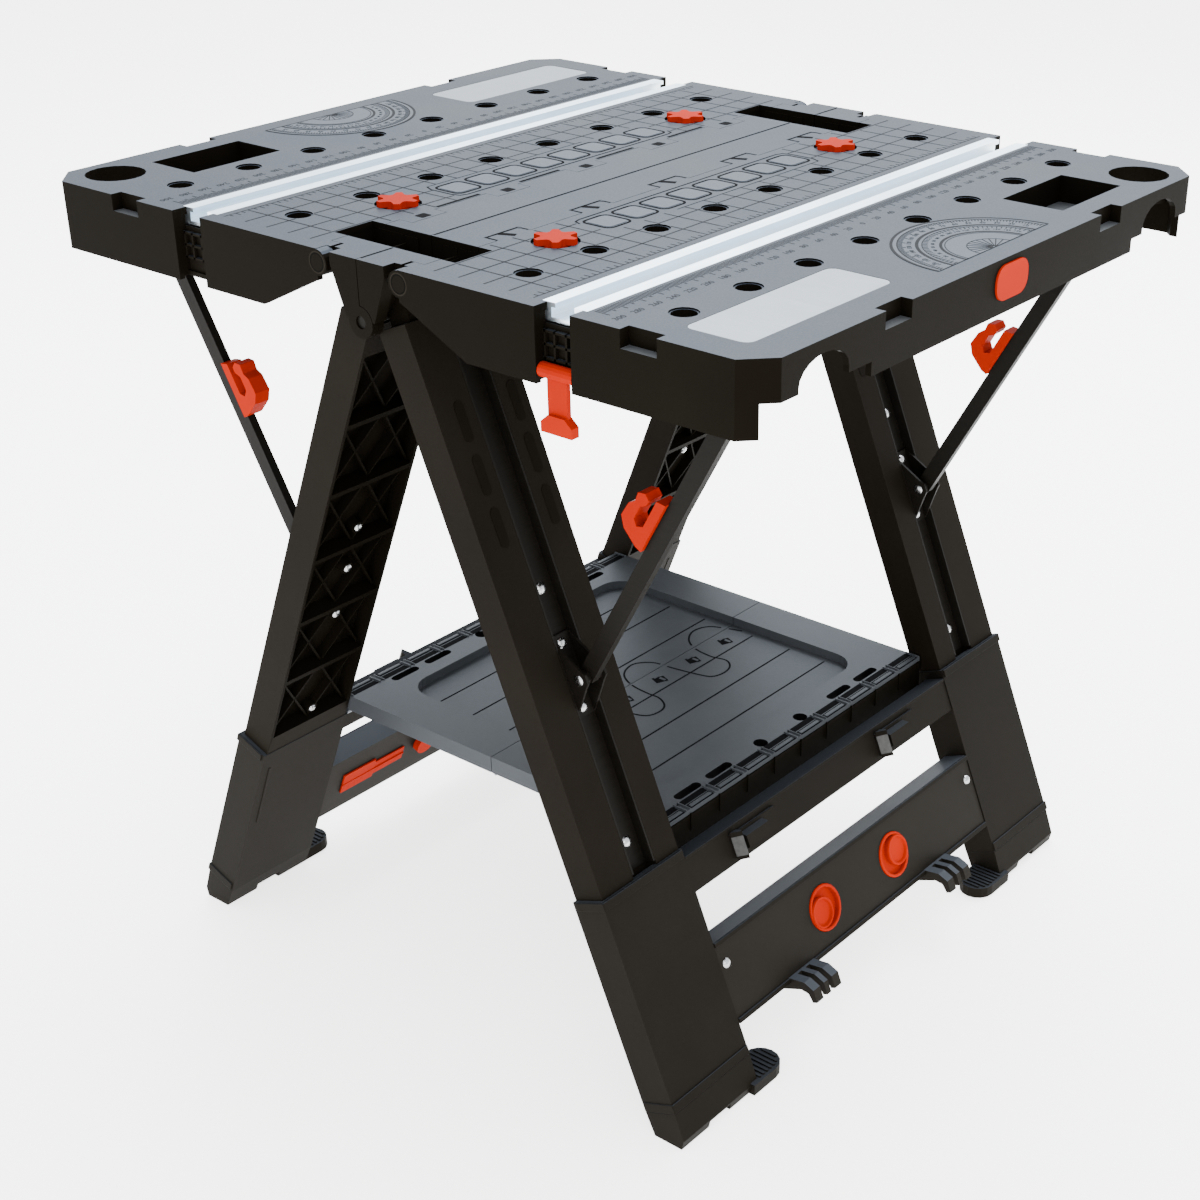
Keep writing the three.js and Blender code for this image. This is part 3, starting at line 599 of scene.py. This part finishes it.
# ------------------------------------------------------------------ legs: X ribs, rivets, slots
ribs = Build(leg_at)
rivets = Build(leg_at)
emboss = Build(leg_at)
for q in (-1, 1):
    def ys(a, b):
        return (q * a, q * b) if q > 0 else (q * b, q * a)
    for i in range(6):
        u0, u1 = 40 + 74 * i, 40 + 74 * i + 69
        for half in ((210.7, 256.5), (256.5, 302.3)):
            ya, yb = ys(*half)
            for (p, r) in (((ya, u0), (yb, u1)), ((ya, u1), (yb, u0))):
                dy, du = r[0] - p[0], r[1] - p[1]
                L = math.hypot(dy, du)
                ny, nu = -du / L * 0.9, dy / L * 0.9
                poly = [(p[0] + ny, p[1] + nu), (r[0] + ny, r[1] + nu), (r[0] - ny, r[1] - nu), (p[0] - ny, p[1] - nu)]
                v = [(7.0, a, b) for a, b in poly] + [(16.7, a, b) for a, b in poly]
                ribs.add(v, [(0, 1, 2, 3), (7, 6, 5, 4), (0, 4, 5, 1), (1, 5, 6, 2), (2, 6, 7, 3), (3, 7, 4, 0)])
    for u in (245.0, 293.0, 349.0, 472.0):
        ribs.lathe([(0, 9.0), (6.0, 9.0), (7.0, -0.3), (0, -0.3)], (16.4, q * 251.25, u), (-1, 0, 0), 16)
        rivets.lathe([(0, 11.4), (2.4, 11.0), (3.9, 9.9), (4.3, 8.6), (0, 8.6)], (16.4, q * 251.25, u), (-1, 0, 0), 16)
    for u in (245.0, 472.0):
        rivets.lathe([(0, 2.6), (2.8, 2.3), (4.6, 1.2), (5.4, 0), (0, -0.5)], (23.4, q * 251.25, u), (1, 0, 0), 14)
    for u in (293.0, 349.0):
        rivets.lathe([(0, 2.4), (2.6, 2.1), (4.2, 1.1), (4.9, 0), (0, -0.5)], (26.0, q * 251.25, u), (1, 0, 0), 18)
    for sgn in (-1, 1):
        rivets.lathe([(0, 1.3), (2.8, 1.1), (4.2, 0.5), (4.8, 0), (0, -0.5)], (44.4, q * 251.25 + sgn * 12.4, 322.7), (0, sgn, 0), 14)
    rivets.lathe([(0, 2.6), (2.6, 2.2), (4.2, 1.1), (4.8, 0), (0, -0.5)], (35.0, q * 196.5, 614.0), (1, 0, 0), 16)
    for u in (96.0, 140.0, 184.0):
        for yc in (221.0, 281.0):
            v = arc(q * yc, u, 5.0, 0, 360, 20)[:-1]
            pts = [(a, b + (12 if b > u else -12)) for a, b in v]
            n = len(pts)
            emboss.add([(33.2, a, b) for a, b in pts] + [(33.75, a, b) for a, b in pts],
                       [tuple(range(n))[::-1], tuple(range(n, 2 * n))] + [(i, (i + 1) % n, n + (i + 1) % n, n + i) for i in range(n)])
# The X ribs and their bosses sit in the leg pockets and take the darker skirt finish, painted shade like the pockets
ribs.both("leg_ribs", SKIRT, "frame_*", "dark", smooth=False)
rivets.both("rivets", RIVET, "frame_*", "steel")
emboss.both("leg_slots", SKIRT, "frame_*", "dark", smooth=False)

# ------------------------------------------------------------------ boots, rails, feet
trim = Build(leg_at)
for q in (-1, 1):
    def b3(n0, n1, a, b, u0, u1):
        y0, y1 = (a, b) if q > 0 else (-b, -a)
        trim.box(n0, n1, y0, y1, u0, u1)
    b3(35.8, 37.6, 207, 310.6, 500.4, 508.0)
    b3(4, 37.6, 309.3, 310.8, 500.4, 508.0)
    b3(35.8, 37.4, 206, 310.4, 689.0, 697.4)
    b3(3, 37.4, 309.3, 310.6, 689.0, 697.4)
    b3(0.4, 1.3, 297.0, 299.6, 522.0, 600.0)
trim.box(34.7, 36.0, -205, 205, 508.2, 510.6)
trim.box(34.7, 37.0, -205, 205, 591.3, 595.5)
trim.box(34.7, 37.0, -205, 205, 664.2, 668.7)
trim.both("frame_trim", BOOT, "frame_*", "dark", bevel=0.8)

sliders = Build(leg_at)
for q in (-1, 1):
    a, b = (128.0, 172.0) if q > 0 else (-172.0, -128.0)
    sliders.box(8.0, 10.2, a, b, 617.0, 643.0)
    a, b = (86.0, 128.4) if q > 0 else (-128.4, -86.0)
    sliders.box(8.4, 10.2, a, b, 622.0, 640.0)
    sliders.box(7.4, 10.2, *((86.0, 172.0) if q > 0 else (-172.0, -86.0)), 630.0, 632.2)
sliders.both("knob_sliders", ORANGE, "frame_*", "orange", bevel=0.5)

treads = Build()
for q in (-1, 1):
    for k in range(7):
        yc = q * (171 + 5.2 * k)
        h = math.sqrt(max(16.0, 15.0 ** 2 - max(0, 183 - abs(yc)) ** 2))
        treads.prism(round_rect(295 - h, 295 + h, yc - 1.3, yc + 1.3, 1.2, 3), 10.8, 12.6, "z", 0.4)
treads.both("foot_treads", BOOT, "frame_*", "dark", smooth=False)

for s, turn in (("right", False), ("left", True)):
    for e, q in (("near", -1), ("far", 1)):
        k = Build(leg_at)
        yy = q * 56.5
        # thumb dish set off-centre in the face of the knob
        off = q * 6.2
        k.lathe([(0, 31.0), (14.4, 31.0), (15.0, 36.6), (14.2, 37.8), (12.8, 37.4), (11.8, 35.0), (0, 34.4)], (0, yy + off, 630 - q * 2.2), (1, 0, 0), 32)
        ride_end = e if not turn else ("far" if e == "near" else "near")
        ob = k.make(f"rail_knob_grip_{s}_{ride_end}", ORANGE, f"rail_knob_{s}_{ride_end}", "orange", turn, 0.3)

# ------------------------------------------------------------------ shelf
SB = 225.5
FL = 217.0
lines = Build()
for x in (31.0, 78.0, 121.0):
    lines.ribbon([(x, -150), (x, 150)], 1.7, FL - 0.05, FL + 0.12)
lines.ribbon([(185.2, -203), (185.2, 203)], 1.2, SB - 0.05, SB + 0.10)
lines.both("shelf_lines", INK_AND_SHADE, "shelf_*", "shelf", smooth=False)
WAVE = [(16, 152), (2.5, 147.5), (-16.8, 138.7), (-23.1, 120.8), (-14.2, 102.3), (3.3, 91.2), (25.8, 88.1), (42.7, 91), (53.8, 82.4), (57, 68), (51.9, 54.7),
        (34.1, 48.9), (9.3, 44.7), (-11.2, 41.7), (-23.9, 29.2), (-23.5, 15.0), (-15, 1.5), (2.4, -7.6), (23.0, -10.7), (40.0, -11.3), (53.5, -20), (57, -33), (51.9, -46),
        (34.1, -52), (9.3, -56), (-11.2, -59), (-23.9, -72), (-23.5, -86), (-15, -99.5), (2.4, -108.6), (23.0, -111.7), (40.0, -112.3), (53.5, -121), (57, -134), (50, -147)]


def smooth_path(pts, n=5):
    out = []
    for i in range(len(pts) - 1):
        p0, p1, p2, p3 = pts[max(i - 1, 0)], pts[i], pts[i + 1], pts[min(i + 2, len(pts) - 1)]
        for k in range(n):
            t = k / n
            out.append(tuple(0.5 * (2 * p1[j] + (p2[j] - p0[j]) * t + (2 * p0[j] - 5 * p1[j] + 4 * p2[j] - p3[j]) * t * t + (3 * p1[j] - p0[j] - 3 * p2[j] + p3[j]) * t ** 3) for j in (0, 1)))
    return out + [pts[-1]]


wave = {1: Build(), -1: Build()}
run, run_side = [], 0
for pt in smooth_path(WAVE) + [(0.0, -200.0)]:
    sd = 1 if pt[0] > 1.2 else (-1 if pt[0] < -1.2 else 0)
    if sd != run_side:
        if run_side and len(run) > 1:
            wave[run_side].ribbon(run, 1.9, FL - 0.05, FL + 0.12)
        run, run_side = [], sd
    if sd:
        run.append(pt)
for y in (123.0, 70.5, 18.5, -33.5, -85.5, -137.0):
    wave[1].prism([(16 + dx, y + dy) for dx, dy in ((-7, -4), (3, -8), (8, 4), (-2, 8))], FL - 0.05, FL + 0.15)
wave[1].make("shelf_wave_right", INK_AND_SHADE, "shelf_right", "shelf", smooth=False)
wave[-1].make("shelf_wave_left", INK_AND_SHADE, "shelf_left", "shelf", smooth=False)
lips = Build()
for y in (123.0, 70.5, 18.5, -33.5, -85.5, -137.0):
    lips.box(14.5, 21.5, y + 0.5, y + 3.5, FL, FL + 0.6)
    lips.box(9.5, 12.0, y - 2.5, y + 4.0, FL, FL + 0.6)
lips.make("shelf_catches", SHELF, "shelf_right", "shelf", smooth=False)
knuckles = Build()
gaps = Build()
for k in range(-5, 5):
    y = 41.0 * k + 20.5
    gaps.box(183.4, 190.2, y - 16.0, y + 16.0, 222.0, SB + 0.12)
    gaps.box(191.4, 198.1, y - 16.0, y + 16.0, 222.0, SB + 0.10)
    knuckles.box(193.0, 196.6, y - 14.5, y + 14.5, 222.0, 226.4)
    knuckles.box(183.0, 198.2, y - 18.6, y - 17.2, 222.0, 226.9)
    knuckles.box(183.0, 198.2, y + 17.2, y + 18.6, 222.0, 226.9)
knuckles.both("shelf_knuckles", SHELF, "shelf_*", "shelf", bevel=0.4)
# The hinge gaps between the knuckles are filled with near-black boxes as painted shade
gaps.both("shelf_hinge_gaps", INK_AND_SHADE, "shelf_*", "shelf", smooth=False)
leaf = Build()
leaf.box(198.25, 199.6, -203.5, 203.5, 190.5, 221.0)
for k in range(-5, 5):
    leaf.box(199.0, 200.6, 41.0 * k + 1.0, 41.0 * k + 2.6, 205.0, 222.5)
leaf.make("shelf_hinge_leaf", SKIRT, "shelf_right", "shelf", smooth=False)
tips = Build(leg_at)
for q in (-1, 1):
    yc = q * 113
    tips.prism([(37.3, yc - 34.3), (48.3, yc - 29.0), (44.2, yc - 27.6), (37.3, yc - 27.6)], 517.0, 536.0)
tips.both("clip_tips", TIP, "frame_*", "steel", bevel=0.5)

# ------------------------------------------------------------------ stage, light, camera
fm, fnt, fp = new_mat("floor_paper")
fcol = ramp(fnt, noise(fnt, 3.0, 3.0), [(0.3, (0.94, 0.92, 0.895)), (0.7, (0.96, 0.94, 0.915))])
fnt.links.new(fcol, fp.inputs["Base Color"])
fp.inputs["Roughness"].default_value = 0.9
fp.inputs["Specular IOR Level"].default_value = 0.1
fp.inputs["Emission Color"].default_value = (1.0, 0.99, 0.975, 1)
fp.inputs["Emission Strength"].default_value = 2.6
fme = bpy.data.meshes.new("floor")
S_ = 14.0
fme.from_pydata([(-S_, -S_, -0.0005), (S_, -S_, -0.0005), (S_, S_, -0.0005), (-S_, S_, -0.0005)], [], [(0, 1, 2, 3)])
floor = bpy.data.objects.new("floor", fme)
fme.materials.append(fm)
bpy.context.scene.collection.objects.link(floor)

world = bpy.data.worlds.new("studio")
bpy.context.scene.world = world
world.use_nodes = True
bg = world.node_tree.nodes["Background"]
bg.inputs[0].default_value = (0.93, 0.97, 1.0, 1)
bg.inputs[1].default_value = 2.9


def area(name, loc, target, size, power, colour=(1, 1, 1)):
    d = bpy.data.lights.new(name, "AREA")
    d.shape = "RECTANGLE"
    d.size, d.size_y = size
    d.energy = power
    d.color = colour
    o = bpy.data.objects.new(name, d)
    o.location = loc
    o.rotation_euler = (Vector(target) - Vector(loc)).to_track_quat("-Z", "Y").to_euler()
    bpy.context.scene.collection.objects.link(o)


area("sky", (-0.6, 1.6, 3.2), (0, 0, 0.5), (3.0, 3.0), 330, (0.90, 0.95, 1.0))
area("front", (2.6, -2.4, 2.2), (0, 0, 0.4), (1.6, 1.6), 45)

cd = bpy.data.cameras.new("camera")
cam = bpy.data.objects.new("camera", cd)
bpy.context.scene.collection.objects.link(cam)
cd.sensor_width = 36.0
cd.lens = 36.0 * 2047.84 / 1200.0
cd.shift_x, cd.shift_y = -0.08, 0.08
cd.clip_start, cd.clip_end = 0.05, 60.0
az, el, roll = math.radians(38.44), math.radians(28.838), 0.0
fwd = Vector((-math.sin(az) * math.cos(el), math.cos(az) * math.cos(el), -math.sin(el)))
right = Vector((math.cos(az), math.sin(az), 0))
up = right.cross(fwd)
cam.matrix_world = Matrix(((right.x, up.x, -fwd.x, 1.14579), (right.y, up.y, -fwd.y, -1.34742), (right.z, up.z, -fwd.z, 1.17416), (0, 0, 0, 1)))
bpy.context.scene.camera = cam
